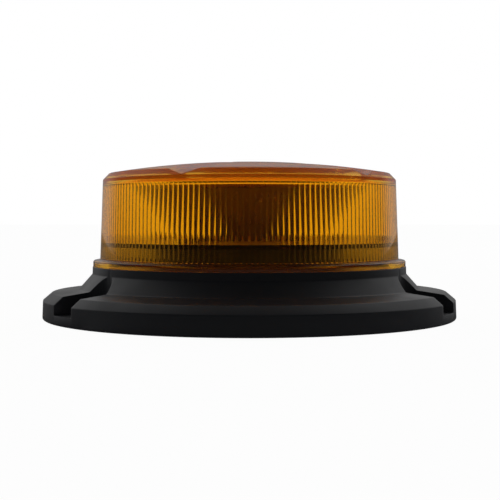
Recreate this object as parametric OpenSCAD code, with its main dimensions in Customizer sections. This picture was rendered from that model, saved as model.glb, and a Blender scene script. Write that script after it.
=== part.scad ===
// Low-profile amber LED warning beacon with a three-bolt base.
// Z is up and the origin is the centre of the underside. The viewer stands on the -Y side.

/* [Base] */
// Diameter of the base at its foot
base_d = 165; // [160:0.5:170]
// Height of the upright outer wall, up to its bevel
wall_h = 7.4; // [7:0.1:8]
// Radius where the bevel meets the flat shelf
shelf_r = 78.5; // [77.5:0.1:79.5]
// Height of the shelf's outer edge
shelf_edge_z = 10.35; // [10:0.05:10.8]
// Radius where the shelf meets the conical slope
slope_foot_r = 67.9; // [67.5:0.1:68.4]
// Height of the slope's foot
slope_foot_z = 11.7; // [11.5:0.1:12]
// Radius of the upright ring under the lens
ring_r = 62.8; // [62.6:0.1:63]
// Height of the ring's lower edge
ring_foot_z = 17.45; // [17:0.05:18]
// Height of the seat that carries the lens
seat_z = 20.4; // [20.2:0.1:21]
// Thickness of the moulded floor
floor_t = 3; // [2.5:0.1:3.2]

/* [Mounting] */
// Diameter of the bolt circle
bolt_circle_d = 140; // [139.5:0.1:140.5]
// Diameter of each bolt hole, for an M6 bolt
bolt_hole_d = 6.6; // [6.2:0.1:7]
// Width of each bolt pocket
pocket_w = 14.7; // [14:0.1:15]
// Thickness of the material that a bolt clamps
pocket_floor = 3.7; // [3.5:0.1:4]
// Direction of the pocket at the right, below the X axis
first_pocket = -25.4; // [-27:0.1:-24]

/* [Lens] */
// Radius of the flange at the lens's foot
flange_r = 62.5; // [62:0.1:62.5]
// Thickness of the flange
flange_t = 2.5; // [2:0.1:2.6]
// Outer radius of the lens wall at the flange
lens_foot_r = 59.75; // [59.6:0.05:60]
// Outer radius of the lens wall at its rim
lens_rim_r = 58.6; // [58.4:0.1:59]
// Height of the rim, where the bevel starts
rim_z = 54.5; // [54:0.1:55]
// Radius where the rim's bevel meets the dome
dome_r = 56.2; // [56:0.1:56.5]
// Height of the dome's foot
dome_foot_z = 57; // [56.6:0.1:57.2]
// Height of the dome at its centre
dome_top_z = 61.7; // [61:0.1:62]
// Inner radius of the lens wall
lens_bore_r = 55.4; // [55.2:0.1:55.6]
// Thickness of the lens's top
lens_top_t = 3.2; // [3:0.1:3.4]
// Number of shallow grooves across the dome
groove_count = 5; // [4:1:6]
// Depth of each groove at the rim
groove_depth = 2.2; // [1.8:0.1:2.4]

/* [Light engine] */
// Height of the LED board's top face
led_board_z = 29.7; // [29.5:0.1:30]
// Radius of the LED board
led_board_r = 54.4; // [54:0.1:54.4]
// Number of LEDs round the reflector
led_count = 12; // [8:1:16]
// Radius of the ring of LEDs
led_ring_r = 27; // [26:0.5:29]
// Radius of the reflector's foot
reflector_foot_r = 20; // [19:0.1:20.5]
// Radius of the reflector's rim
reflector_rim_r = 36; // [35:0.1:37]
// Height of the reflector's rim
reflector_rim_z = 50; // [49.5:0.1:50.5]

/* [Driver] */
// Radius of the driver board
driver_board_r = 39.5; // [39:0.1:40]
// Height of the driver board's underside
driver_board_z = 11.5; // [11:0.1:12]
// Diameter of the cable's hole through the grommet
cable_d = 6.5; // [6:0.1:7]

/* [Hidden] */
$fn = 96;
eps = 0.01;
base_r = base_d / 2;
foot_round = 0.9;
wall_draft = 0.5;
ring_draft = 0.1;
pocket_turn = 120;
bolt_r = bolt_circle_d / 2;

// Inside of the base: a well for the driver, and a rebate for the seal and the lens's spigot.
well_r = 52.5;
rebate_r = 59.6;
rebate_z = 15.8;
dish_r = 50;
dish_z = 3.5;
floor_z = dish_z + floor_t;
gasket_in_r = 52.2;
gasket_out_r = 59.2;
gasket_t = 2;

// Posts that carry the heat spreader, and short stand-offs under the driver board.
post_r = 3.6;
post_ring_r = 44;
standoff_r = 3;
standoff_ring_r = 34;
standoff_turn = 30;
screw_hole_r = 1.55;
drive_w = 0.8;
screw_r = 1.5;
post_solid_h = 4;
standoff_solid_h = 1;
board_hole_r = 1.7;

// Stack above the driver, from the top down.
led_board_t = 1.6;
pad_t = 0.5;
spreader_t = 4;
pad_z = led_board_z - led_board_t - pad_t;
spreader_z = pad_z - spreader_t;
spreader_r = 52.2;
pad_r = 50;
carrier_r = 54.6;
carrier_in_r = 52.4;
carrier_ledge_r = 49.5;
carrier_ledge_t = 2.5;
led_t = 0.8;

// Lens flange, spigot and seal, and the facets along the dome's outline.
flange_bevel = 0.8;
dome_steps = 10;
spigot_out_r = 59.4;
spigot_in_r = 56.6;
spigot_h = 3;
seal_r = 0.75;
groove_axis = 245.7;
groove_half_w = 8.1;
groove_end_r = 8;

// Reflector wall.
reflector_t = 1.4;
reflector_floor_t = 1.8;
reflector_steps = 16;
reflector_power = 1.1;

// Driver board and the cable's grommet and vent.
driver_board_t = 1.6;
driver_top = driver_board_z + driver_board_t;
header_x = 22;
header_pitch = 2.54;
header_pins = 4;
inlet_y = 44.2;
inlet_hole_r = 4.6;
grommet_flange_r = 5.6;
vent_y = -43;
vent_hole_r = 3;
membrane_r = 2.35;
membrane_t = 0.3;
membrane_rise = 1;

// ---- Shared shapes ----

// Places its children once on each of the three pockets or posts.
module three_times(start = 0) {
    for (i = [0:2]) rotate([0, 0, start + i * pocket_turn]) children();
}

// A board-mounted block, centred on x and y, standing on the driver board.
module chip(x, y, l, w, h) {
    translate([x - l / 2, y - w / 2, driver_top]) cube([l, w, h]);
}

// A pan-head screw with its head's underside at z and its shank pointing down.
module pan_screw(z, head_r, head_h, length) {
    translate([0, 0, z - length]) cylinder(r = screw_r, h = length + eps);
    difference() {
        translate([0, 0, z]) cylinder(r1 = head_r, r2 = head_r * 0.86, h = head_h);
        for (a = [0, 90])
            rotate([0, 0, a]) translate([-head_r * 0.6, -drive_w / 2, z + head_h * 0.5])
                cube([head_r * 1.2, drive_w, head_h]);
    }
}

// ---- Base ----

// Outer form of the moulding, from the axis outwards.
module base_outline() {
    polygon([[0, 0], [base_r - foot_round, 0], [base_r, foot_round], [base_r - wall_draft, wall_h],
        [shelf_r, shelf_edge_z], [slope_foot_r, slope_foot_z], [ring_r, ring_foot_z],
        [ring_r - ring_draft, seat_z], [0, seat_z]]);
}

// Room for one bolt: a slot with a round inner end, open through the outer wall.
module bolt_pocket() {
    translate([bolt_r, 0, pocket_floor]) {
        cylinder(d = pocket_w, h = seat_z);
        translate([0, -pocket_w / 2, 0]) cube([base_r, pocket_w, seat_z]);
    }
    translate([bolt_r, 0, -1]) cylinder(d = bolt_hole_d, h = pocket_floor + 2);
}

// Cored-out cells under the rim, in two rings, between thin radial ribs.
module rim_cells() {
    cells = 7;
    free_angle = 98;
    rib_angle = 1.6;
    pitch = free_angle / cells;
    for (i = [0:cells - 1])
        rotate([0, 0, (pocket_turn - free_angle) / 2 + i * pitch + rib_angle / 2])
            rotate_extrude(angle = pitch - rib_angle) {
                polygon([[61.6, -1], [68.4, -1], [68.4, 8.6], [66.6, 8.9], [61.6, 14.4]]);
                polygon([[70.2, -1], [79.4, -1], [79.4, 5.6], [77.2, 7.5], [70.2, 8.3]]);
            }
}

module base_housing() {
    color([0.09, 0.09, 0.1]) {
        difference() {
            rotate_extrude() base_outline();
            translate([0, 0, floor_z]) cylinder(r = well_r, h = seat_z);
            translate([0, 0, rebate_z]) cylinder(r = rebate_r, h = seat_z);
            translate([0, 0, -1]) cylinder(r = dish_r, h = dish_z + 1);
            difference() {
                translate([0, 0, -1]) cylinder(r = gasket_out_r, h = gasket_t + 1);
                translate([0, 0, -2]) cylinder(r = gasket_in_r, h = gasket_t + 4);
            }
            three_times(first_pocket) {
                bolt_pocket();
                rim_cells();
            }
            translate([0, inlet_y, 0]) cylinder(r = inlet_hole_r, h = seat_z);
            translate([0, vent_y, 0]) cylinder(r = vent_hole_r, h = seat_z);
        }
        three_times() translate([post_ring_r, 0, floor_z - eps]) difference() {
            cylinder(r = post_r, h = spreader_z - floor_z + eps);
            translate([0, 0, post_solid_h]) cylinder(r = screw_hole_r, h = seat_z);
        }
        three_times(standoff_turn) translate([standoff_ring_r, 0, floor_z - eps]) difference() {
            cylinder(r = standoff_r, h = driver_board_z - floor_z + eps);
            translate([0, 0, standoff_solid_h]) cylinder(r = screw_hole_r, h = seat_z);
        }
    }
}

module mounting_gasket() {
    play = 0.1;
    color([0.05, 0.05, 0.05]) difference() {
        cylinder(r = gasket_out_r - play, h = gasket_t);
        translate([0, 0, -1]) cylinder(r = gasket_in_r + play, h = gasket_t + 2);
    }
}

// Rubber grommet with a flange on each side of the floor.
module cable_grommet() {
    lip = 1.6;
    collar = 5;
    collar_top_r = 4.6;
    play = 0.05;
    color([0.12, 0.12, 0.12]) translate([0, inlet_y, dish_z]) difference() {
        union() {
            translate([0, 0, -lip]) cylinder(r = grommet_flange_r, h = lip);
            cylinder(r = inlet_hole_r - play, h = floor_t);
            translate([0, 0, floor_t]) cylinder(r1 = grommet_flange_r, r2 = collar_top_r, h = collar);
        }
        translate([0, 0, -lip - 1]) cylinder(d = cable_d, h = floor_t + lip + collar + 2);
    }
}

// Snap-in pressure vent in the floor, and the membrane that it holds.
module vent_plug() {
    head_r = 5;
    head_t = 1.2;
    barb_r = 3.6;
    barb_h = 1.6;
    way_r = 1.6;
    color([0.2, 0.2, 0.21]) translate([0, vent_y, dish_z]) difference() {
        union() {
            translate([0, 0, -head_t]) cylinder(r = head_r, h = head_t);
            cylinder(r = vent_hole_r - 0.05, h = floor_t);
            translate([0, 0, floor_t]) cylinder(r1 = barb_r, r2 = vent_hole_r, h = barb_h);
        }
        translate([0, 0, -head_t - 1]) cylinder(r = way_r, h = floor_t + head_t + barb_h + 2);
        translate([0, 0, floor_t + membrane_rise]) cylinder(r = membrane_r + 0.05, h = barb_h);
    }
}

module vent_membrane() {
    color([0.92, 0.92, 0.9]) translate([0, vent_y, floor_z + membrane_rise])
        cylinder(r = membrane_r, h = membrane_t);
}

// ---- Driver ----

module driver_board() {
    color([0.05, 0.3, 0.12]) translate([0, 0, driver_board_z]) difference() {
        cylinder(r = driver_board_r, h = driver_board_t);
        three_times(standoff_turn) translate([standoff_ring_r, 0, -1])
            cylinder(r = board_hole_r, h = driver_board_t + 2);
    }
}

module driver_screws() {
    color([0.7, 0.7, 0.72]) three_times(standoff_turn) translate([standoff_ring_r, 0, 0])
        pan_screw(driver_top, 2.8, 1.8, 5);
}

// Three-way screw terminal for the supply wires.
module terminal_block() {
    ways = 3;
    way_l = 5;
    depth = 8;
    height = 8.5;
    y = 31;
    screw_y = 30.4;
    mouth = 3;
    color([0.1, 0.35, 0.6]) difference() {
        chip(0, y, ways * way_l, depth, height);
        for (i = [0:ways - 1]) {
            x = (i - (ways - 1) / 2) * way_l;
            translate([x, screw_y, driver_top + 5]) cylinder(r = 1.7, h = height);
            translate([x - mouth / 2, y, driver_top + 1]) cube([mouth, depth, mouth]);
        }
    }
}

module power_inductors() {
    size = 12.5;
    height = 5.6;
    color([0.22, 0.22, 0.23]) for (side = [-1, 1]) {
        chip(side * 15, -14, size, size, height);
        translate([side * 15, -14, driver_top + height - eps]) cylinder(r1 = 5.4, r2 = 5, h = 1);
    }
}

// Can capacitors, each with a rolled groove near its foot and a rounded top edge.
module bulk_capacitors() {
    can_r = 4;
    groove_r = 3.6;
    levels = [0, 0.8, 1.5, 9.1, 9.5];
    color([0.75, 0.76, 0.78]) for (p = [[-27.5, -10], [27.5, -10], [-27.5, 1]])
        translate([p[0], p[1], driver_top]) rotate_extrude() polygon([[0, levels[0]], [can_r, levels[0]],
            [can_r, levels[1]], [groove_r, levels[1]], [groove_r, levels[2]], [can_r, levels[2]],
            [can_r, levels[3]], [groove_r, levels[4]], [0, levels[4]]]);
}

module microcontroller() {
    color([0.08, 0.08, 0.08]) chip(0, 0, 7, 7, 1.1);
}

module driver_chips() {
    color([0.08, 0.08, 0.08]) for (p = [[-13, 6], [13, 6], [0, -14]]) chip(p[0], p[1], 6, 5, 1.5);
}

// Three power transistors, each with its cooling tab behind it.
module power_transistors() {
    body = [6.6, 6.1, 2.3];
    tab = [5.4, 1.9, 0.6];
    y = 17;
    color([0.1, 0.1, 0.1]) for (x = [-11, 0, 11]) {
        chip(x, y, body[0], body[1], body[2]);
        chip(x, y + (body[1] + tab[1]) / 2 - eps, tab[0], tab[1], tab[2]);
    }
}

module protection_diode() {
    color([0.12, 0.12, 0.12]) chip(20, 25, 7, 5.8, 2.4);
}

module sense_resistors() {
    color([0.15, 0.15, 0.16]) for (y = [23, 28]) chip(-18, y, 6.4, 3.2, 0.6);
}

// Pin strip that joins the driver board to the LED board.
module board_header() {
    strip_h = 2.6;
    pin_r = 0.35;
    pin_top = led_board_z - led_board_t - 0.1;
    color([0.1, 0.1, 0.1]) {
        chip(header_x, 0, header_pitch, header_pins * header_pitch, strip_h);
        for (i = [0:header_pins - 1])
            translate([header_x, (i - (header_pins - 1) / 2) * header_pitch, driver_top + strip_h - eps])
                cylinder(r = pin_r, h = pin_top - driver_top - strip_h + eps);
    }
}

// ---- Light engine ----

// Slot for the pin strip and holes for the screws, through the plates of the stack.
module stack_holes(z) {
    translate([header_x - 2.5, -header_pitch * 2.4, z]) cube([5, header_pitch * 4.8, spreader_t + 2]);
    screw_holes(z);
}

module screw_holes(z) {
    three_times() translate([post_ring_r, 0, z]) cylinder(r = screw_hole_r, h = spreader_t + 2);
    translate([0, 0, z]) cylinder(r = screw_hole_r, h = spreader_t + 2);
}

module heat_spreader() {
    color([0.78, 0.79, 0.8]) difference() {
        translate([0, 0, spreader_z]) cylinder(r = spreader_r, h = spreader_t);
        stack_holes(spreader_z - 1);
    }
}

module thermal_pad() {
    color([0.55, 0.6, 0.68]) difference() {
        translate([0, 0, pad_z]) cylinder(r = pad_r, h = pad_t);
        stack_holes(pad_z - 1);
    }
}

// Aluminium drum that stands on the base's ledge and carries the heat spreader's edge.
module led_carrier() {
    color([0.74, 0.75, 0.77]) rotate_extrude() polygon([[well_r + 0.3, rebate_z], [carrier_r, rebate_z],
        [carrier_r, pad_z + pad_t], [carrier_in_r, pad_z + pad_t], [carrier_in_r, spreader_z],
        [carrier_ledge_r, spreader_z], [carrier_ledge_r, spreader_z - carrier_ledge_t],
        [well_r + 0.3, spreader_z - carrier_ledge_t]]);
}

module led_board() {
    color([0.93, 0.93, 0.9]) difference() {
        translate([0, 0, pad_z + pad_t]) cylinder(r = led_board_r, h = led_board_t);
        screw_holes(pad_z - 1);
    }
}

module led_packages() {
    size = 3.5;
    color([0.9, 0.88, 0.8]) for (i = [0:led_count - 1])
        rotate([0, 0, (i + 0.5) * 360 / led_count])
            translate([led_ring_r - size / 2, -size / 2, led_board_z]) cube([size, size, led_t]);
}

module led_domes() {
    dome_r = 1.55;
    color([0.95, 0.8, 0.3]) for (i = [0:led_count - 1])
        rotate([0, 0, (i + 0.5) * 360 / led_count]) translate([led_ring_r, 0, led_board_z + led_t])
            difference() {
                sphere(r = dome_r, $fn = 32);
                translate([-dome_r - 1, -dome_r - 1, -4]) cube([2 * dome_r + 2, 2 * dome_r + 2, 4]);
            }
}

module carrier_screws() {
    color([0.7, 0.7, 0.72]) three_times() translate([post_ring_r, 0, 0]) pan_screw(led_board_z, 2.7, 1.7, 16);
}

// Radius of the trumpet's outer face, at t from 0 at its foot to 1 at its rim.
function trumpet_r(t) = reflector_rim_r - (reflector_rim_r - reflector_foot_r)
    * pow(1 - pow(t, reflector_power), 1 / reflector_power);
function trumpet_z(t) = led_board_z + t * (reflector_rim_z - led_board_z);

// Trumpet that turns the upward light of the LEDs outwards.
module reflector() {
    outer = [for (i = [0:reflector_steps]) let (t = sin(90 * i / reflector_steps))
        [trumpet_r(t), trumpet_z(t)]];
    lip = [[reflector_rim_r, reflector_rim_z + reflector_t]];
    inner = [for (i = [reflector_steps:-1:1]) let (t = sin(90 * i / reflector_steps))
        [trumpet_r(t) - reflector_t, trumpet_z(t) + reflector_t * (0.25 + 0.75 * t)]];
    foot = [[reflector_foot_r - reflector_t, led_board_z + reflector_floor_t],
        [screw_hole_r + 0.1, led_board_z + reflector_floor_t], [screw_hole_r + 0.1, led_board_z]];
    color([0.85, 0.85, 0.87]) rotate_extrude() polygon(concat(outer, lip, inner, foot));
}

module reflector_screw() {
    color([0.7, 0.7, 0.72]) pan_screw(led_board_z + reflector_floor_t, 3, 2, 7.5);
}

// ---- Lens ----

module lens_seal() {
    color([0.08, 0.08, 0.08]) rotate_extrude()
        translate([(spigot_in_r + spigot_out_r) / 2, rebate_z + seal_r + 0.05]) circle(r = seal_r, $fn = 24);
}

// Height of a shallow dome at radius r, where its edge stands at radius edge_r and height edge_z.
function dome_height(r, edge_r, edge_z, top_z) =
    let (rise = top_z - edge_z, ball = (edge_r * edge_r + rise * rise) / (2 * rise))
    top_z - ball + sqrt(ball * ball - r * r);

// Points along a dome, from its edge in to the axis.
function dome_line(edge_r, edge_z, top_z) = [for (i = [0:dome_steps])
    let (r = edge_r * (1 - i / dome_steps)) [r, dome_height(r, edge_r, edge_z, top_z)]];

// Outside of the lens, with its spigot under the flange.
module lens_outside() {
    polygon(concat([[0, seat_z - spigot_h], [spigot_out_r, seat_z - spigot_h], [spigot_out_r, seat_z],
        [flange_r, seat_z], [flange_r, seat_z + flange_t - flange_bevel],
        [flange_r - flange_bevel, seat_z + flange_t], [lens_foot_r, seat_z + flange_t], [lens_rim_r, rim_z]],
        dome_line(dome_r, dome_foot_z, dome_top_z)));
}

// Hollow of the lens: the spigot's mouth, the straight bore and the underside of the top.
module lens_inside() {
    polygon(concat([[0, seat_z - spigot_h - 1], [spigot_in_r, seat_z - spigot_h - 1],
        [spigot_in_r, seat_z + 1], [lens_bore_r, seat_z + 1.6], [lens_bore_r, rim_z - 2.6]],
        dome_line(lens_bore_r - 1.4, dome_foot_z - lens_top_t, dome_top_z - lens_top_t)));
}

// A V-shaped groove that rises towards the centre and fades out there.
module dome_groove() {
    overrun = 6;
    tall = 2;
    fall = atan((dome_top_z - (dome_foot_z - groove_depth)) / (lens_rim_r - groove_end_r));
    translate([lens_rim_r + overrun, 0, dome_foot_z - groove_depth - overrun * tan(fall)])
        rotate([0, fall, 0]) rotate([90, 0, -90]) linear_extrude(height = lens_rim_r)
            scale(tall) polygon([[0, 0], [groove_half_w, groove_depth], [-groove_half_w, groove_depth]]);
}

module lens() {
    color([0.95, 0.55, 0.05, 0.55]) difference() {
        rotate_extrude() lens_outside();
        rotate_extrude() lens_inside();
        for (i = [0:groove_count - 1]) rotate([0, 0, groove_axis + i * 360 / groove_count]) dome_groove();
    }
}

base_housing();
mounting_gasket();
cable_grommet();
vent_plug();
vent_membrane();
driver_board();
driver_screws();
terminal_block();
power_inductors();
bulk_capacitors();
microcontroller();
driver_chips();
power_transistors();
protection_diode();
sense_resistors();
board_header();
heat_spreader();
thermal_pad();
led_carrier();
led_board();
led_packages();
led_domes();
carrier_screws();
reflector();
reflector_screw();
lens_seal();
lens();
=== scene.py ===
"""Visual model of a low-profile amber LED warning beacon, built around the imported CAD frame.

The base, the lens and the reflector are turned on the bench from their outlines, and the other
CAD pieces are given a finish where they lie. Sizes are in millimetres and become metres at the
bench. The frame has +Z up, its origin at the centre of the underside, and the viewer on -Y.
"""

import logging
import math
from collections.abc import Callable
from dataclasses import dataclass, field
from enum import Enum

import bpy
from mathutils import Matrix, Vector


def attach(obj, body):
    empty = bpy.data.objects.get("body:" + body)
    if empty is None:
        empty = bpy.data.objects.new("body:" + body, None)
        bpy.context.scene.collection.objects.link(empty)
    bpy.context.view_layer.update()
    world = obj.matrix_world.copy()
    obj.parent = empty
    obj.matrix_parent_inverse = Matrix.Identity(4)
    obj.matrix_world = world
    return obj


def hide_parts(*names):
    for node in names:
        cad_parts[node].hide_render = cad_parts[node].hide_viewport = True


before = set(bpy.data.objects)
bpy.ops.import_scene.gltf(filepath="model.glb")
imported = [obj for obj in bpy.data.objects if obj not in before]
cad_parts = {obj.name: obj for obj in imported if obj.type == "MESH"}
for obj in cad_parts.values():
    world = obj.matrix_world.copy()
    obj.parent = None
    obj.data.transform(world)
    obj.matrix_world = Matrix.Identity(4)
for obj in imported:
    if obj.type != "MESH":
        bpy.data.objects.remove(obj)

MM = 0.001
ROOT = "root"
FULL_TURN = 2.0 * math.pi

log = logging.getLogger("beacon")

Point = tuple[float, float]
Place = tuple[float, float, float]
Corner = tuple[float, float, float]
Colour = tuple[float, float, float]
Span = tuple[float, float, float, float]


class Meeting(Enum):
    """What a tool does to the piece that it meets."""

    CUT = "DIFFERENCE"
    JOIN = "UNION"


# ---------------------------------------------------------------- shader wiring


class Wire:
    """A node socket whose arithmetic adds Math nodes."""

    def __init__(self, graph: "Graph", socket: "bpy.types.NodeSocket | None") -> None:
        """Holds a socket and the graph that it belongs to."""
        self.graph = graph
        self.socket = socket

    def __add__(self, other: "Wire | float") -> "Wire":
        """Sum of two values."""
        return self.graph.math("ADD", self, other)

    def __mul__(self, other: "Wire | float") -> "Wire":
        """Product of two values."""
        return self.graph.math("MULTIPLY", self, other)

    def __sub__(self, other: "Wire | float") -> "Wire":
        """This value less the other."""
        return self.graph.math("SUBTRACT", self, other)

    def __pow__(self, other: "Wire | float") -> "Wire":
        """This value raised to a power."""
        return self.graph.math("POWER", self, other)

    def above(self, level: float) -> "Wire":
        """One where this value is above a level, and zero elsewhere."""
        return self.graph.math("GREATER_THAN", self, level)

    def wave(self) -> "Wire":
        """Sine of this value, in radians."""
        return self.graph.math("SINE", self, 0.0)

    def span(self, low: float, high: float, to_low: float, to_high: float) -> "Wire":
        """This value carried from one range to another, and held inside it.

        Args:
            low: start of the range that is read.
            high: end of the range that is read.
            to_low: result at the start.
            to_high: result at the end.

        Returns:
            The carried value.
        """
        settings = {"clamp": True, "interpolation_type": "SMOOTHSTEP"}
        values = {"Value": self, "From Min": low, "From Max": high, "To Min": to_low, "To Max": to_high}
        return self.graph.node("ShaderNodeMapRange", settings, values, "Result")


class Graph:
    """The node tree of one material or world."""

    def __init__(self, tree: bpy.types.NodeTree) -> None:
        """Empties a node tree and takes it over."""
        tree.nodes.clear()
        self.tree = tree
        self._place: Wire | None = None

    def node(self, kind: str, settings: dict, values: dict, output: "str | int" = 0) -> Wire:
        """Adds a node.

        Args:
            kind: the node's type.
            settings: its properties, and its ramp's stops under "stops".
            values: plain values or wires for its input sockets, by name or number.
            output: the output socket that is returned.

        Returns:
            The wire from that output.
        """
        made = self.tree.nodes.new(kind)
        for name, value in settings.items():
            if name == "stops":
                self._set_stops(made.color_ramp, value)
            else:
                setattr(made, name, value)
        for name, value in values.items():
            if isinstance(value, Wire):
                self.tree.links.new(value.socket, made.inputs[name])
            else:
                made.inputs[name].default_value = value
        return Wire(self, made.outputs[output]) if len(made.outputs) else Wire(self, None)

    @staticmethod
    def _set_stops(ramp: bpy.types.ColorRamp, stops: list[tuple[float, Colour]]) -> None:
        """Gives a colour ramp its stops, each a position and a colour."""
        while len(ramp.elements) < len(stops):
            ramp.elements.new(0.5)
        for element, (position, colour) in zip(ramp.elements, stops):
            element.position = position
            element.color = (*colour, 1.0)

    def math(self, operation: str, first: "Wire | float", second: "Wire | float") -> Wire:
        """Adds a Math node and returns its result."""
        return self.node("ShaderNodeMath", {"operation": operation}, {0: first, 1: second})

    def mix(self, share: "Wire | float", first: "Wire | Colour", second: "Wire | Colour") -> Wire:
        """Mixes two colours, from the first at share 0 to the second at share 1."""
        pair = [c if isinstance(c, Wire) else (*c, 1.0) for c in (first, second)]
        values = {0: share, 6: pair[0], 7: pair[1]}
        return self.node("ShaderNodeMix", {"data_type": "RGBA"}, values, 2)

    def place(self) -> Wire:
        """Object coordinates, in metres."""
        if self._place is None:
            self._place = self.node("ShaderNodeTexCoord", {}, {}, "Object")
        return self._place

    def noise(self, scale: float, detail: float = 3.0, rough: float = 0.5) -> Wire:
        """Cloudy noise from 0 to 1, whose features are about one over scale metres across."""
        values = {"Vector": self.place(), "Scale": scale, "Detail": detail, "Roughness": rough}
        return self.node("ShaderNodeTexNoise", {}, values, 0)

    def axis(self, name: str) -> Wire:
        """One of the object coordinates, X, Y or Z, in metres."""
        return self.node("ShaderNodeSeparateXYZ", {}, {0: self.place()}, name)

    def bump(self, height: Wire, strength: float, distance: float) -> Wire:
        """Normal bent by a height, in metres at full strength."""
        return self.node("ShaderNodeBump", {}, {"Strength": strength, "Distance": distance, "Height": height})


@dataclass(frozen=True)
class Finish:
    """A surface finish that can dress pieces."""

    name: str

    def wire(self, graph: Graph) -> dict:
        """Builds the finish's nodes and returns the Principled shader's inputs."""
        raise NotImplementedError

    def skin(self, graph: Graph) -> Wire:
        """Surface shader of the finish."""
        return graph.node("ShaderNodeBsdfPrincipled", {}, self.wire(graph))

    def absorb(self, graph: Graph) -> "Wire | None":
        """Volume shader of the finish, if light passes through it."""
        return None

    def make(self) -> bpy.types.Material:
        """The finish's material, made once."""
        found = bpy.data.materials.get(self.name)
        if found:
            return found
        material = bpy.data.materials.new(self.name)
        material.use_nodes = True
        graph = Graph(material.node_tree)
        surface = self.skin(graph)
        volume = self.absorb(graph)
        ends = {"Surface": surface} if volume is None else {"Surface": surface, "Volume": volume}
        graph.node("ShaderNodeOutputMaterial", {}, ends)
        return material


@dataclass(frozen=True)
class Moulded(Finish):
    """Moulded plastic or rubber with a fine spark-eroded grain."""

    colour: Colour = (0.02, 0.02, 0.02)
    rough: float = 0.45
    grain: float = 2600.0
    depth: float = 0.00002
    cloud: float = 0.25

    def wire(self, graph: Graph) -> dict:
        """Grain in the normal, and slow clouds in colour and roughness."""
        cloud = graph.noise(55.0, 4.0)
        grain = graph.noise(self.grain, 2.0)
        light = tuple(min(1.0, c * (1.0 + self.cloud)) for c in self.colour)
        dark = tuple(c * (1.0 - self.cloud) for c in self.colour)
        return {
            "Base Color": graph.mix(cloud, dark, light),
            "Roughness": cloud.span(0.3, 0.7, self.rough - 0.05, self.rough + 0.06),
            "Normal": graph.bump(grain, 0.35, self.depth),
        }


@dataclass(frozen=True)
class Metal(Finish):
    """Bare, plated or metallised metal with faint handling marks."""

    colour: Colour = (0.7, 0.7, 0.72)
    rough: float = 0.25
    grain: float = 900.0
    turned: bool = False

    def wire(self, graph: Graph) -> dict:
        """Smudges in roughness, and turning rings or a fine grain in the normal."""
        smudge = graph.noise(120.0, 5.0, 0.6)
        fine = graph.noise(self.grain, 3.0)
        height = fine
        if self.turned:
            radius = (graph.axis("X") ** 2.0 + graph.axis("Y") ** 2.0) ** 0.5
            height = (radius * (FULL_TURN / (0.35 * MM))).wave() + fine
        dark = tuple(c * 0.86 for c in self.colour)
        return {
            "Base Color": graph.mix(smudge, dark, self.colour),
            "Metallic": 1.0,
            "Roughness": smudge.span(0.25, 0.75, self.rough * 0.75, self.rough * 1.3),
            "Normal": graph.bump(height, 0.2, 0.000004),
        }


@dataclass(frozen=True)
class SolderMask(Finish):
    """Circuit board lacquer over copper, with faint tracks and a darker edge."""

    colour: Colour = (0.02, 0.14, 0.05)
    track: Colour = (0.04, 0.22, 0.08)
    pitch: float = 2.2
    edge: Colour = (0.03, 0.025, 0.02)
    face_z: float = 0.0

    def wire(self, graph: Graph) -> dict:
        """Tracks as stepped cells under the lacquer, raised a little."""
        grid = {"Vector": graph.place(), "Scale": 1.0 / (self.pitch * MM), "Randomness": 0.65}
        cells = graph.node("ShaderNodeTexVoronoi", {"distance": "CHEBYCHEV"}, grid, "Distance")
        track = cells.span(0.34, 0.4, 0.0, 1.0)
        weave = graph.noise(3000.0, 1.0)
        faced = graph.axis("Z").above((self.face_z - 0.03) * MM)
        return {
            "Base Color": graph.mix(faced, self.edge, graph.mix(track, self.colour, self.track)),
            "Roughness": weave.span(0.2, 0.8, 0.24, 0.36),
            "Normal": graph.bump(track + weave * 0.3, 0.4, 0.00003),
            "Coat Weight": 0.3,
        }


@dataclass(frozen=True)
class ClearAmber(Finish):
    """Clear amber polycarbonate, tinted through its thickness."""

    tint: Colour = (1.0, 0.7, 0.07)
    density: float = 60.0
    passes: Colour = (0.75, 0.5, 0.0)
    index: float = 1.585
    milk: Colour = (0.95, 0.3, 0.03)
    milk_low: float = 53.5
    milk_high: float = 55.0
    foot_low: float = 22.6
    foot_high: float = 23.4
    milk_wall: float = 0.018
    milk_rim: float = 0.4
    milk_foot: float = 0.16

    def wire(self, graph: Graph) -> dict:
        """Faint flow marks in tint and roughness, and the tool's polish in the normal."""
        flow = graph.noise(40.0, 3.0)
        polish = graph.noise(700.0, 2.0)
        deeper = (self.tint[0], self.tint[1] * 0.96, self.tint[2] * 0.9)
        return {
            "Base Color": graph.mix(flow, deeper, self.tint),
            "Roughness": flow.span(0.3, 0.7, 0.015, 0.04),
            "IOR": self.index,
            "Transmission Weight": 1.0,
            "Normal": graph.bump(polish, 0.06, 0.000004),
        }

    def skin(self, graph: Graph) -> Wire:
        """Clear skin over a faint milkiness, stronger in the thick rim and roof."""
        clear = graph.node("ShaderNodeBsdfPrincipled", {}, self.wire(graph))
        milky = graph.node("ShaderNodeBsdfTranslucent", {}, {"Color": (*self.milk, 1.0)})
        height = graph.axis("Z")
        rim = height.span(self.milk_low * MM, self.milk_high * MM, self.milk_wall, self.milk_rim)
        foot = height.span(self.foot_low * MM, self.foot_high * MM, self.milk_foot, 0.0)
        share = graph.math("MAXIMUM", rim, foot)
        return graph.node("ShaderNodeMixShader", {}, {0: share, 1: clear, 2: milky})

    def absorb(self, graph: Graph) -> Wire:
        """Absorption that deepens the amber with thickness."""
        values = {"Color": (*self.passes, 1.0), "Density": self.density}
        return graph.node("ShaderNodeVolumeAbsorption", {}, values)


# ---------------------------------------------------------------- bench operations


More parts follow.
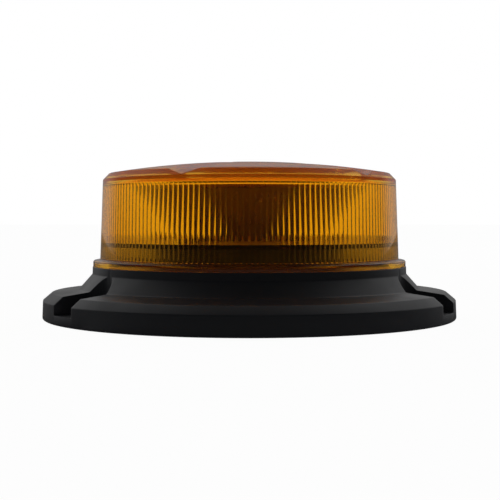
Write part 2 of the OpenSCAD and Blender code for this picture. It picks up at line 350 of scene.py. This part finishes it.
class Bench:
    """Modelling operations that every sub-assembly uses."""

    @staticmethod
    def clear() -> None:
        """Leaves nothing selected, in object mode."""
        if bpy.context.object and bpy.context.object.mode != "OBJECT":
            bpy.ops.object.mode_set(mode="OBJECT")
        bpy.ops.object.select_all(action="DESELECT")

    @staticmethod
    def pick(piece: bpy.types.Object) -> None:
        """Selects one object alone and makes it active."""
        Bench.clear()
        piece.select_set(True)
        bpy.context.view_layer.objects.active = piece

    @staticmethod
    def edit(piece: bpy.types.Object) -> None:
        """Opens a piece in edit mode, for its vertices, with nothing selected."""
        Bench.pick(piece)
        bpy.ops.object.mode_set(mode="EDIT")
        bpy.ops.mesh.select_mode(type="VERT")
        bpy.ops.mesh.select_all(action="DESELECT")

    @staticmethod
    def choose(piece: bpy.types.Object, wanted: Callable[[Vector], bool]) -> None:
        """Selects the vertices of an edited piece whose place passes a test.

        Args:
            piece: the piece, in edit mode.
            wanted: test on a vertex's place, in metres.
        """
        bpy.ops.mesh.select_all(action="DESELECT")
        bpy.ops.object.mode_set(mode="OBJECT")
        chosen = [wanted(v.co) for v in piece.data.vertices]
        piece.data.vertices.foreach_set("select", chosen)
        bpy.ops.object.mode_set(mode="EDIT")

    @staticmethod
    def name(piece: bpy.types.Object, name: str) -> bpy.types.Object:
        """Names an object and its mesh."""
        piece.name = name
        piece.data.name = name
        return piece

    @staticmethod
    def lathe(name: str, outline: list[Point], closed: bool, steps: int = 192,
              sweep: float = FULL_TURN) -> bpy.types.Object:
        """Turns an outline about the Z axis.

        Args:
            name: the piece's name.
            outline: radius and height of each point, in millimetres.
            closed: whether the outline's last point joins its first.
            steps: facets round the sweep.
            sweep: angle of the sweep, anticlockwise from +X seen from above.

        Returns:
            The turned piece.
        """
        Bench.clear()
        bpy.ops.mesh.primitive_plane_add(size=MM, location=(0.0, 0.0, 0.0))
        piece = Bench.name(bpy.context.object, name)
        bpy.ops.object.mode_set(mode="EDIT")
        bpy.ops.mesh.select_mode(type="VERT")
        bpy.ops.mesh.select_all(action="SELECT")
        bpy.ops.mesh.merge(type="CENTER")
        bpy.ops.transform.translate(value=(outline[0][0] * MM, 0.0, outline[0][1] * MM))
        for (r0, z0), (r1, z1) in zip(outline, outline[1:]):
            step = ((r1 - r0) * MM, 0.0, (z1 - z0) * MM)
            bpy.ops.mesh.extrude_vertices_move(TRANSFORM_OT_translate={"value": step})
        if closed:
            ends = {0, len(outline) - 1}
            bpy.ops.object.mode_set(mode="OBJECT")
            for vertex in piece.data.vertices:
                vertex.select = vertex.index in ends
            bpy.ops.object.mode_set(mode="EDIT")
            bpy.ops.mesh.edge_face_add()
        bpy.ops.mesh.select_all(action="SELECT")
        bpy.ops.mesh.spin(steps=steps, angle=-sweep, center=(0.0, 0.0, 0.0), axis=(0.0, 0.0, 1.0))
        bpy.ops.mesh.select_all(action="SELECT")
        bpy.ops.mesh.remove_doubles(threshold=0.002 * MM)
        if sweep < FULL_TURN:
            Bench._cap()
        bpy.ops.mesh.select_all(action="SELECT")
        bpy.ops.mesh.normals_make_consistent(inside=False)
        bpy.ops.object.mode_set(mode="OBJECT")
        return piece

    @staticmethod
    def _cap() -> None:
        """Closes the two ends of a part turn."""
        bpy.ops.mesh.select_all(action="DESELECT")
        bpy.ops.mesh.select_non_manifold()
        bpy.ops.mesh.edge_face_add()

    @staticmethod
    def drum(name: str, radius: float, low: float, high: float, at: Point = (0.0, 0.0),
             sides: int = 64) -> bpy.types.Object:
        """A plain upright cylinder, used as a start or as a cutter, in millimetres."""
        Bench.clear()
        middle = (at[0] * MM, at[1] * MM, (low + high) / 2 * MM)
        bpy.ops.mesh.primitive_cylinder_add(vertices=sides, radius=radius * MM, depth=(high - low) * MM,
                                            location=middle)
        bpy.ops.object.transform_apply(location=True, rotation=True, scale=True)
        return Bench.name(bpy.context.object, name)

    @staticmethod
    def block(name: str, low: Place, high: Place) -> bpy.types.Object:
        """A plain block between two corners, used as a start or as a cutter, in millimetres."""
        Bench.clear()
        bpy.ops.mesh.primitive_cube_add(size=1.0)
        piece = Bench.name(bpy.context.object, name)
        piece.scale = [(b - a) * MM for a, b in zip(low, high)]
        piece.location = [(a + b) / 2 * MM for a, b in zip(low, high)]
        bpy.ops.object.transform_apply(location=True, rotation=True, scale=True)
        return piece

    @staticmethod
    def turn(piece: bpy.types.Object, angle: float) -> bpy.types.Object:
        """Turns a mesh about the Z axis, by an angle in degrees."""
        piece.data.transform(Matrix.Rotation(math.radians(angle), 4, "Z"))
        return piece

    @staticmethod
    def copies(piece: bpy.types.Object, angles: list[float]) -> bpy.types.Object:
        """Sets copies of a piece round the Z axis and joins them into one.

        Args:
            piece: the piece, whose own place counts as angle 0.
            angles: where the copies go, in degrees.

        Returns:
            One object that holds all the copies.
        """
        made = []
        for angle in angles:
            twin = piece.copy()
            twin.data = piece.data.copy()
            bpy.context.scene.collection.objects.link(twin)
            made.append(Bench.turn(twin, angle))
        name = piece.name
        bpy.data.objects.remove(piece)
        return Bench.name(Bench.join(made), name)

    @staticmethod
    def join(pieces: list[bpy.types.Object]) -> bpy.types.Object:
        """Joins objects into the first of them."""
        Bench.pick(pieces[0])
        for piece in pieces[1:]:
            piece.select_set(True)
        if len(pieces) > 1:
            bpy.ops.object.join()
        return pieces[0]

    @staticmethod
    def boolean(piece: bpy.types.Object, tool: bpy.types.Object,
                meeting: Meeting = Meeting.CUT) -> bpy.types.Object:
        """Cuts a piece with a tool, or joins the tool to it, and removes the tool."""
        Bench.pick(piece)
        cut = piece.modifiers.new("cut", "BOOLEAN")
        cut.operation = meeting.value
        cut.solver = "EXACT"
        cut.object = tool
        bpy.ops.object.modifier_apply(modifier=cut.name)
        bpy.data.objects.remove(tool)
        return piece

    @staticmethod
    def bevel(piece: bpy.types.Object, width: float, angle: float, segments: int = 2) -> bpy.types.Object:
        """Rounds the edges of a piece that are sharper than an angle, in degrees."""
        Bench.pick(piece)
        round_off = piece.modifiers.new("round", "BEVEL")
        round_off.width = width * MM
        round_off.segments = segments
        round_off.limit_method = "ANGLE"
        round_off.angle_limit = math.radians(angle)
        round_off.miter_outer = "MITER_ARC"
        bpy.ops.object.modifier_apply(modifier=round_off.name)
        return piece

    @staticmethod
    def smooth(piece: bpy.types.Object, angle: float) -> bpy.types.Object:
        """Shades a piece smooth, except across edges sharper than an angle, in degrees."""
        Bench.pick(piece)
        bpy.ops.object.shade_smooth_by_angle(angle=math.radians(angle))
        return piece


def rounded(corners: list[Corner], steps: int = 4) -> list[Point]:
    """Rounds the corners of an outline.

    Args:
        corners: radius, height and corner radius of each point, in millimetres.
        steps: facets on each round.

    Returns:
        The outline's points, with each round as an arc.
    """
    points: list[Point] = []
    for i, (r, z, bend) in enumerate(corners):
        here = Vector((r, z))
        if bend <= 0.0 or i in (0, len(corners) - 1):
            points.append((r, z))
            continue
        back = (Vector(corners[i - 1][:2]) - here).normalized()
        on = (Vector(corners[i + 1][:2]) - here).normalized()
        half = back.angle(on) / 2
        reach = bend / math.tan(half)
        centre = here + (back + on).normalized() * (bend / math.sin(half))
        start = here + back * reach - centre
        turn = math.pi - 2 * half
        sign = 1.0 if back.x * on.y - back.y * on.x < 0 else -1.0
        for k in range(steps + 1):
            angle = sign * turn * k / steps
            spoke = Matrix.Rotation(angle, 2) @ start
            points.append((centre.x + spoke.x, centre.y + spoke.y))
    return points


def dress(piece: bpy.types.Object, finish: Finish) -> bpy.types.Object:
    """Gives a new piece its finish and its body.

    Args:
        piece: the finished piece, with its object at the origin.
        finish: the finish that it shows.

    Returns:
        The piece.
    """
    piece.data.materials.clear()
    piece.data.materials.append(finish.make())
    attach(piece, ROOT)
    log.info("%s: %d faces", piece.name, len(piece.data.polygons))
    return piece


# ---------------------------------------------------------------- finishes

BASE_BLACK = Moulded("base_black", (0.0045, 0.0051, 0.007), 0.4, 2400.0, 0.00003)
DRUM_METAL = Metal("drum_aluminium", (0.5, 0.51, 0.53), 0.13)
HEADER_BLACK = Moulded("header_black", (0.012, 0.012, 0.013), 0.45)
RUBBER = Moulded("black_rubber", (0.016, 0.016, 0.016), 0.75, 3200.0, 0.00004)
VENT_GREY = Moulded("vent_grey", (0.05, 0.05, 0.055), 0.5)
MEMBRANE = Moulded("vent_membrane_white", (0.75, 0.75, 0.72), 0.9, 5200.0, 0.00005, 0.06)
TERMINAL_BLUE = Moulded("terminal_blue", (0.02, 0.09, 0.25), 0.4)
FERRITE = Moulded("ferrite_grey", (0.05, 0.05, 0.055), 0.65, 1800.0, 0.00005)
EPOXY = Moulded("chip_epoxy", (0.015, 0.015, 0.017), 0.55, 4200.0)
CERAMIC = Moulded("resistor_black", (0.02, 0.02, 0.024), 0.35)
PAD_SILICONE = Moulded("pad_silicone", (0.28, 0.34, 0.44), 0.7, 2200.0, 0.00003, 0.08)
LED_WHITE = Moulded("led_white", (0.78, 0.76, 0.7), 0.35, 3000.0, 0.00001, 0.05)
LED_GEL = Moulded("led_gel", (0.8, 0.5, 0.08), 0.15, 3000.0, 0.000005, 0.1)
STEEL = Metal("zinc_steel", (0.62, 0.62, 0.64), 0.32)
CAN_METAL = Metal("can_aluminium", (0.72, 0.73, 0.75), 0.3)
SPREADER_METAL = Metal("turned_aluminium", (0.76, 0.77, 0.79), 0.3, 900.0, True)
# The trumpet's metal is darkened as painted shade.
TRUMPET_SHADE_METAL = Metal("trumpet_painted_shade_metal", (0.42, 0.41, 0.4), 0.3)
# Paler metal for the bowl's inside, as painted light.
BOWL_LIGHT_METAL = Metal("bowl_painted_light_metal", (0.8, 0.79, 0.77), 0.62, 1400.0)
BOARD_GREEN = SolderMask("board_green")
BOARD_WHITE = SolderMask("board_white", (0.8, 0.8, 0.76), (0.88, 0.88, 0.84), 3.4, face_z=29.7)
AMBER = ClearAmber("amber_polycarbonate")


# ---------------------------------------------------------------- base


@dataclass
class Base:
    """Black moulded base with its bolt pockets, cored underside and seat for the lens.

    Radii, heights and widths are in millimetres, and angles in degrees. A floor hole is given
    by its place along Y and its radius, and a cell by the outline that is turned to cut it.
    """

    foot_r: float = 82.5
    wall_r: float = 82.0
    wall_z: float = 7.4
    shelf_r: float = 78.5
    shelf_z: float = 10.35
    slope_r: float = 67.9
    slope_z: float = 11.7
    ring_r: float = 62.8
    ring_z: float = 17.45
    seat_z: float = 20.4
    rebate_r: float = 59.6
    rebate_z: float = 15.8
    well_r: float = 52.5
    floor_z: float = 6.5
    dish_r: float = 50.0
    dish_z: float = 3.5
    gasket: tuple[float, float, float] = (52.2, 59.2, 2.0)
    bolt_ring_r: float = 70.0
    bolt_hole_r: float = 3.3
    pocket_w: float = 14.7
    pocket_floor: float = 3.7
    pockets: list[float] = field(default_factory=lambda: [-25.4, 94.6, 214.6])
    cells: int = 7
    cell_room: float = 98.0
    cell_rib: float = 1.6
    inner_cell: tuple[Point, ...] = ((61.6, -1.0), (68.4, -1.0), (68.4, 8.6), (66.6, 8.9), (61.6, 14.4))
    outer_cell: tuple[Point, ...] = ((70.2, -1.0), (79.4, -1.0), (79.4, 5.6), (77.2, 7.5), (70.2, 8.3))
    floor_holes: tuple[Point, ...] = ((44.2, 4.6), (-43.0, 3.0))
    floor_hole_top: float = 12.0
    edge_round: float = 0.35
    edge_angle: float = 38.0
    crease: float = 32.0
    facets: int = 240

    def outline(self) -> list[Point]:
        """The moulding's closed outline, from the dish's centre out and back over the top."""
        gasket_in, gasket_out, gasket_t = self.gasket
        return rounded([
            (0.0, self.dish_z, 0.0), (self.dish_r, self.dish_z, 0.5), (self.dish_r, 0.0, 0.4),
            (gasket_in, 0.0, 0.0), (gasket_in, gasket_t, 0.0), (gasket_out, gasket_t, 0.0),
            (gasket_out, 0.0, 0.0), (self.foot_r - 0.2, 0.0, 0.9), (self.wall_r, self.wall_z, 0.7),
            (self.shelf_r, self.shelf_z, 0.8), (self.slope_r, self.slope_z, 1.6),
            (self.ring_r, self.ring_z, 0.9), (self.ring_r - 0.1, self.seat_z, 0.25),
            (self.rebate_r, self.seat_z, 0.0), (self.rebate_r, self.rebate_z, 0.0),
            (self.well_r, self.rebate_z, 0.0), (self.well_r, self.floor_z, 1.0), (0.0, self.floor_z, 0.0),
        ])

    def pocket_tool(self) -> bpy.types.Object:
        """Cutter for one pocket: a slot with a round inner end, and the bolt's hole."""
        top = self.seat_z + 5.0
        bolt, half = (self.bolt_ring_r, 0.0), self.pocket_w / 2
        end = Bench.drum("pocket_end", half, self.pocket_floor, top, bolt, 96)
        run = Bench.block("pocket_run", (self.bolt_ring_r, -half, self.pocket_floor),
                          (self.foot_r + 8.0, half, top))
        Bench.boolean(end, run, Meeting.JOIN)
        hole = Bench.drum("bolt_hole", self.bolt_hole_r, -1.0, self.pocket_floor + 1.0, bolt, 48)
        return Bench.boolean(end, hole, Meeting.JOIN)

    def cell_tool(self) -> bpy.types.Object:
        """Cutters for the cored-out cells between two pockets, in two rings."""
        pitch = self.cell_room / self.cells
        sweep = math.radians(pitch - self.cell_rib)
        outlines = (list(self.inner_cell), list(self.outer_cell))
        pair = [Bench.lathe(f"cell_{i}", line, True, 8, sweep) for i, line in enumerate(outlines)]
        first = (360.0 / len(self.pockets) - self.cell_room) / 2 + self.cell_rib / 2
        return Bench.copies(Bench.join(pair), [first + i * pitch for i in range(self.cells)])

    def build(self) -> bpy.types.Object:
        """Turns the base, cuts its pockets and cells, and rounds the cut edges."""
        piece = Bench.lathe("base_housing_moulding", self.outline(), False, self.facets)
        Bench.boolean(piece, Bench.copies(self.pocket_tool(), self.pockets))
        Bench.bevel(piece, self.edge_round, self.edge_angle)
        Bench.boolean(piece, Bench.copies(self.cell_tool(), self.pockets))
        for y, r in self.floor_holes:
            Bench.boolean(piece, Bench.drum("floor_hole", r, 0.0, self.floor_hole_top, (0.0, y)))
        Bench.smooth(piece, self.crease)
        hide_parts("base_housing")
        return dress(piece, BASE_BLACK)


# ---------------------------------------------------------------- reflector


@dataclass
class Reflector:
    """Trumpet over the ring of LEDs: satin metal outside, darkened as painted shade, and a paler sheet inside
    its bowl as painted light.
    """

    foot_r: float = 20.0
    rim_r: float = 36.0
    foot_z: float = 29.7
    rim_z: float = 50.0
    wall: float = 1.4
    # Thickness of the thin sheet that carries painted light in the bowl, in millimetres.
    floor: float = 1.8
    lit_sheet: float = 0.25
    power: float = 1.1
    foot_share: float = 0.25
    hole_r: float = 1.65
    steps: int = 18
    facets: int = 160
    crease: float = 40.0

    def skin(self, inset: float, rise: float) -> list[Point]:
        """Points up one face of the wall.

        Args:
            inset: how far the face is inside the outer face, in millimetres.
            rise: how far its rim stands above the outer face's; its foot stands a share of that.

        Returns:
            The points from the foot to the rim.
        """
        points = []
        for i in range(self.steps + 1):
            t = math.sin(math.pi / 2 * i / self.steps)
            r = self.rim_r - (self.rim_r - self.foot_r) * (1 - t ** self.power) ** (1 / self.power)
            lift = rise * (self.foot_share + (1 - self.foot_share) * t)
            points.append((r - inset, self.foot_z + t * (self.rim_z - self.foot_z) + lift))
        return points

    def build(self) -> list[bpy.types.Object]:
        """Turns the trumpet, and a thin pale sheet over its bowl's inner face that carries painted light."""
        lip_z = self.rim_z + self.wall
        floor_z = self.foot_z + self.floor
        outer = self.skin(0.0, 0.0)
        face = self.skin(self.wall, self.wall)[1:]
        inner = list(reversed(face))
        lip = [(self.rim_r, lip_z - 0.5), (self.rim_r - 0.2, lip_z - 0.1), (self.rim_r - 0.7, lip_z)]
        foot = [(self.foot_r - self.wall, floor_z), (self.hole_r, floor_z), (self.hole_r, self.foot_z)]
        trumpet = Bench.lathe("reflector_trumpet", outer + lip + inner + foot, True, self.facets)
        Bench.smooth(trumpet, self.crease)
        # A thin sheet just inside the bowl's face carries the paler metal, as painted light.
        back = [(r - self.lit_sheet, z + self.lit_sheet * 0.5) for r, z in inner]
        bowl = Bench.lathe("reflector_bowl_lit_sheet", face + back, True, self.facets)
        Bench.smooth(bowl, self.crease)
        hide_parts("reflector")
        # The trumpet's outside shows darkened metal as painted shade, and the sheet in its bowl shows paler
        # metal as painted light.
        dress(trumpet, TRUMPET_SHADE_METAL)
        return [trumpet, dress(bowl, BOWL_LIGHT_METAL)]


# ---------------------------------------------------------------- lens


@dataclass
class Lens:
    """Amber lens: flange, fluted wall, bevelled rim and a dome with V-shaped grooves.

    The rows near both ends of each tall wall keep its smoothed normals true, so that it bends
    light as an even wall does.
    """

    seat_z: float = 20.4
    spigot_z: float = 17.4
    spigot_in: float = 56.6
    spigot_out: float = 59.4
    flange_r: float = 62.5
    flange_z: float = 22.9
    foot_r: float = 59.75
    rim_r: float = 58.6
    rim_z: float = 54.5
    dome_r: float = 56.2
    dome_z: float = 57.0
    top_z: float = 61.7
    top_t: float = 3.2
    bore_r: float = 55.2
    flutes: int = 180
    flute_h: float = 0.26
    flute_facets: int = 4
    flute_low: float = 23.4
    flute_high: float = 51.7
    flute_row: float = 0.2
    wall_rows: Point = (0.5, 0.7)
    grooves: int = 5
    groove_axis: float = 245.7
    groove_half: float = 8.1
    groove_depth: float = 2.2
    groove_end_r: float = 8.0
    crease: float = 30.0

    @staticmethod
    def dome(edge_r: float, edge_z: float, top_z: float, steps: int) -> list[Point]:
        """Points along a shallow dome, from its edge in to the axis, without the edge itself."""
        rise = top_z - edge_z
        ball = (edge_r ** 2 + rise ** 2) / (2 * rise)
        radii = [edge_r * (1 - (i + 1) / steps) for i in range(steps)]
        return [(r, top_z - ball + math.sqrt(ball ** 2 - r ** 2)) for r in radii]

    def wall_at(self, z: float) -> Corner:
        """Corner without rounding on the outside of the wall, at a height."""
        share = (z - self.flange_z) / (self.rim_z - self.flange_z)
        return (self.foot_r + (self.rim_r - self.foot_r) * share, z, 0.0)

    def bevel_at(self, share: float) -> Corner:
        """Corner without rounding on the bevel, at a share of its width."""
        r = self.rim_r + (self.dome_r - self.rim_r) * share
        return (r, self.rim_z + (self.dome_z - self.rim_z) * share, 0.0)

    def outline(self) -> list[Point]:
        """Outline from the spigot's inner foot, over the outside to the axis, and back inside."""
        near, far = self.wall_rows
        outer = rounded([
            (self.spigot_in, self.spigot_z, 0.0), (self.spigot_out, self.spigot_z, 0.2),
            (self.spigot_out, self.seat_z, 0.0), (self.flange_r, self.seat_z, 0.15),
            (self.flange_r, self.flange_z, 0.8), (self.foot_r, self.flange_z, 0.35),
            self.wall_at(self.flange_z + near), self.wall_at(self.flange_z + far),
            self.wall_at(self.rim_z - far), self.wall_at(self.rim_z - near),
            (self.rim_r, self.rim_z, 0.5), self.bevel_at(0.25), self.bevel_at(0.75),
            (self.dome_r, self.dome_z, 0.4), (self.dome_r - 5.0, self.dome_z + 0.75, 0.0),
        ], 3)[:-1]
        inner_r = self.bore_r - 1.2
        inner_z = self.dome_z - self.top_t
        inner = list(reversed(self.dome(inner_r, inner_z, self.top_z - self.top_t, 6)))
        inner += [(inner_r, inner_z), (self.bore_r - 0.35, inner_z - 0.5), (self.bore_r, inner_z - 1.3)]
        row = self.flute_row
        heights = (self.flute_high + row, self.flute_high, self.flute_high - row,
                   self.flute_low + row, self.flute_low, self.flute_low - row)
        inner += [(self.bore_r, z) for z in heights]
        inner.append((self.spigot_in, self.seat_z + 1.0))
        return outer + self.dome(self.dome_r, self.dome_z, self.top_z, 10) + inner

    def cut_flutes(self, piece: bpy.types.Object) -> None:
        """Raises a rounded ridge between each two columns of the bore's wall.

        Args:
            piece: the turned lens, whose columns start at +X.
        """
        slack = 0.05 * MM
        low, high = self.flute_low * MM - slack, self.flute_high * MM + slack
        column = FULL_TURN / (self.flutes * self.flute_facets)
        Bench.edit(piece)
        for phase in range(1, self.flute_facets):
            share = phase / self.flute_facets
            ridge = self.flute_h * 4 * share * (1 - share)

            def on_phase(co: Vector, phase: int = phase) -> bool:
                """Whether a vertex is on the bore, in the fluted height and in this phase."""
                if not low < co.z < high or abs(co.xy.length - self.bore_r * MM) > 0.02 * MM:
                    return False
                return round(math.atan2(co.y, co.x) / column) % self.flute_facets == phase

            Bench.choose(piece, on_phase)
            shrink = 1 - ridge / self.bore_r
            bpy.ops.transform.resize(value=(shrink, shrink, 1.0), center_override=(0.0, 0.0, 0.0))
        bpy.ops.object.mode_set(mode="OBJECT")

    def groove_tool(self) -> bpy.types.Object:
        """Cutter for one V-shaped groove, whose keel rises from the rim towards the axis."""
        rim_z = self.dome_z - self.groove_depth
        slope = (self.top_z - rim_z) / (self.rim_r - self.groove_end_r)
        flank = self.groove_half / self.groove_depth
        lid = self.top_z + 0.05
        piece = Bench.block("groove", (self.groove_end_r, -1.0, 0.0), (self.rim_r + 6.0, 1.0, 1.0))
        for vertex in piece.data.vertices:
            keel = rim_z + slope * (self.rim_r - vertex.co.x / MM)
            raised = vertex.co.z > 0.5 * MM
            side = math.copysign(flank * (lid - keel) if raised else 0.0, vertex.co.y)
            vertex.co = (vertex.co.x, side * MM, (lid if raised else keel) * MM)
        Bench.edit(piece)
        bpy.ops.mesh.select_all(action="SELECT")
        bpy.ops.mesh.remove_doubles(threshold=0.001 * MM)
        bpy.ops.mesh.normals_make_consistent(inside=False)
        bpy.ops.object.mode_set(mode="OBJECT")
        return piece

    def build(self) -> bpy.types.Object:
        """Turns the lens, raises its flutes and cuts the grooves in its dome."""
        piece = Bench.lathe("lens_amber_shell", self.outline(), True, self.flutes * self.flute_facets)
        self.cut_flutes(piece)
        turns = [self.groove_axis + i * 360.0 / self.grooves for i in range(self.grooves)]
        Bench.boolean(piece, Bench.copies(self.groove_tool(), turns))
        Bench.smooth(piece, self.crease)
        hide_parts("lens")
        return dress(piece, AMBER)


# ---------------------------------------------------------------- studio


@dataclass
class Studio:
    """Pale floor, surroundings, one soft light and the camera.

    Camera distances are in millimetres, the floor's size and the lamp's in metres. A span gives
    the range that is read and the range that it becomes.
    """

    distance: float = 410.0
    eye_z: float = 37.4
    shift_x: float = 0.235
    pitch: float = 1.512
    focal: float = 72.94
    level_tones: tuple[Point, ...] = ((0.0, 0.014), (0.5, 0.045), (0.735, 0.05), (0.87, 0.42), (1.0, 0.25))
    high_tones: tuple[Point, ...] = ((0.0, 0.012), (0.5, 0.03), (0.72, 0.55), (0.85, 0.5), (1.0, 0.5))
    tent_rise: Span = (0.03, 0.3, 0.0, 1.0)
    tent_inside: Span = (-0.45, 0.3, 0.012, 1.0)
    floor_inside: Span = (-0.3, 0.3, 0.012, 1.0)
    floor_size: float = 60.0
    floor_drop: float = 0.2
    floor_glow: float = 1.04
    floor_glow_share: float = 0.93
    lamp_place: Place = (0.3, 1.2, 1.3)
    lamp_aim: Place = (0.0, 0.0, 0.03)
    lamp_size: Point = (1.4, 1.0)
    lamp_power: float = 1.0

    def camera(self) -> None:
        """Camera low in front of the beacon, a little above the middle of its height."""
        data = bpy.data.cameras.new("studio_camera")
        data.lens = self.focal
        data.sensor_width = 36.0
        data.clip_start = 0.01
        piece = bpy.data.objects.new("studio_camera", data)
        bpy.context.scene.collection.objects.link(piece)
        piece.location = (self.shift_x * MM, -self.distance * MM, self.eye_z * MM)
        piece.rotation_euler = (math.radians(90.0 - self.pitch), 0.0, 0.0)
        bpy.context.scene.camera = piece

    def floor(self) -> None:
        """Wide pale floor under the beacon."""
        Bench.clear()
        bpy.ops.mesh.primitive_plane_add(size=self.floor_size, location=(0.0, 0.0, -self.floor_drop * MM))
        piece = Bench.name(bpy.context.object, "studio_floor")
        material = bpy.data.materials.new("studio_floor")
        material.use_nodes = True
        graph = Graph(material.node_tree)
        paper = graph.node("ShaderNodeBsdfDiffuse", {}, {"Color": (0.9, 0.9, 0.9, 1.0)})
        white = (1.0, 1.0, 1.0, 1.0)
        glow = graph.node("ShaderNodeEmission", {}, {"Color": white, "Strength": self.floor_glow})
        dull = graph.node("ShaderNodeBsdfDiffuse", {}, {"Color": (0.5, 0.5, 0.5, 1.0)})
        behind = graph.axis("Y").span(*self.floor_inside)
        wide = graph.node("ShaderNodeEmission", {}, {"Color": white, "Strength": behind})
        straight, inside = self.seen_straight(graph), self.seen_inside(graph)
        lit = graph.node("ShaderNodeMixShader", {}, {0: self.floor_glow_share, 1: paper, 2: glow})
        bent = graph.node("ShaderNodeMixShader", {}, {0: inside, 1: dull, 2: wide})
        both = graph.node("ShaderNodeMixShader", {}, {0: straight, 1: bent, 2: lit})
        graph.node("ShaderNodeOutputMaterial", {}, {"Surface": both})
        piece.data.materials.append(material)

    @staticmethod
    def seen_straight(graph: Graph) -> Wire:
        """One for what the eye meets straight or through the clear lens, zero for reflections."""
        path = graph.tree.nodes.new("ShaderNodeLightPath")
        bounces = Wire(graph, path.outputs["Glossy Depth"]) + Wire(graph, path.outputs["Diffuse Depth"])
        return graph.math("LESS_THAN", bounces, 0.5)

    @staticmethod
    def seen_inside(graph: Graph) -> Wire:
        """One for light that has passed through the clear lens."""
        path = graph.tree.nodes.new("ShaderNodeLightPath")
        return Wire(graph, path.outputs["Transmission Depth"]).above(0.5)

    def world(self) -> None:
        """Surroundings: white backdrop, and in reflections a white tent that is dark at the front."""
        world = bpy.data.worlds.new("studio_world")
        world.use_nodes = True
        bpy.context.scene.world = world
        graph = Graph(world.node_tree)
        way = graph.node("ShaderNodeTexCoord", {}, {}, "Generated")
        depth = graph.node("ShaderNodeSeparateXYZ", {}, {0: way}, "Y")
        rise = graph.node("ShaderNodeSeparateXYZ", {}, {0: way}, "Z")
        share = depth * 0.5 + 0.5
        level_stops = {"stops": [(x, (v,) * 3) for x, v in self.level_tones]}
        high_stops = {"stops": [(x, (v,) * 3) for x, v in self.high_tones]}
        level_tent = graph.node("ShaderNodeValToRGB", level_stops, {0: share}, 0)
        high_tent = graph.node("ShaderNodeValToRGB", high_stops, {0: share}, 0)
        outer = level_tent + (high_tent - level_tent) * rise.span(*self.tent_rise)
        inner = depth.span(*self.tent_inside) * self.seen_inside(graph)
        level = graph.math("MAXIMUM", self.seen_straight(graph), graph.math("MAXIMUM", outer, inner))
        white = graph.node("ShaderNodeBackground", {}, {"Color": (1.0, 1.0, 1.0, 1.0), "Strength": level})
        graph.node("ShaderNodeOutputWorld", {}, {"Surface": white})

    def light(self, name: str, place: Place, size: Point, power: float) -> None:
        """Soft rectangular light that faces the beacon.

        Args:
            name: the light's name.
            place: its centre, in metres.
            size: its width and height, in metres.
            power: its power, in watts.
        """
        data = bpy.data.lights.new(name, "AREA")
        data.shape = "RECTANGLE"
        data.size, data.size_y = size
        data.energy = power
        piece = bpy.data.objects.new(name, data)
        bpy.context.scene.collection.objects.link(piece)
        piece.location = place
        aim = Vector(self.lamp_aim) - Vector(place)
        piece.rotation_euler = aim.to_track_quat("-Z", "Y").to_euler()

    def build(self) -> None:
        """Sets up the camera, the floor, the surroundings and the light."""
        self.camera()
        self.floor()
        self.world()
        self.light("top_back", self.lamp_place, self.lamp_size, self.lamp_power)
        settings = bpy.context.scene.view_settings
        settings.view_transform = "Standard"
        settings.look = "None"


# ---------------------------------------------------------------- assembly

CAD_FINISHES: dict[str, Finish] = {
    "mounting_gasket": RUBBER, "cable_grommet": RUBBER, "vent_plug": VENT_GREY, "vent_membrane": MEMBRANE,
    "driver_board": BOARD_GREEN, "driver_screws": STEEL, "terminal_block": TERMINAL_BLUE,
    "power_inductors": FERRITE, "bulk_capacitors": CAN_METAL, "microcontroller": EPOXY,
    "driver_chips": EPOXY, "power_transistors": EPOXY, "protection_diode": EPOXY,
    "sense_resistors": CERAMIC, "board_header": HEADER_BLACK, "heat_spreader": SPREADER_METAL,
    "thermal_pad": PAD_SILICONE, "led_carrier": DRUM_METAL, "led_board": BOARD_WHITE,
    "led_packages": LED_WHITE, "led_domes": LED_GEL, "carrier_screws": STEEL,
    "reflector_screw": STEEL, "lens_seal": RUBBER,
}


def dress_frame() -> None:
    """Gives every CAD piece that stays in view its finish."""
    for name, finish in CAD_FINISHES.items():
        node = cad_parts[name]
        node.data.materials.clear()
        node.data.materials.append(finish.make())
        log.info("%s: dressed as %s", name, finish.name)


def main() -> None:
    """Builds the beacon's visual model and its studio."""
    logging.basicConfig(level=logging.INFO, format="%(relativeCreated)6d ms %(name)s: %(message)s")
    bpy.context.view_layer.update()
    Studio().build()
    dress_frame()
    Base().build()
    Reflector().build()
    Lens().build()


if __name__ == "__main__":
    main()
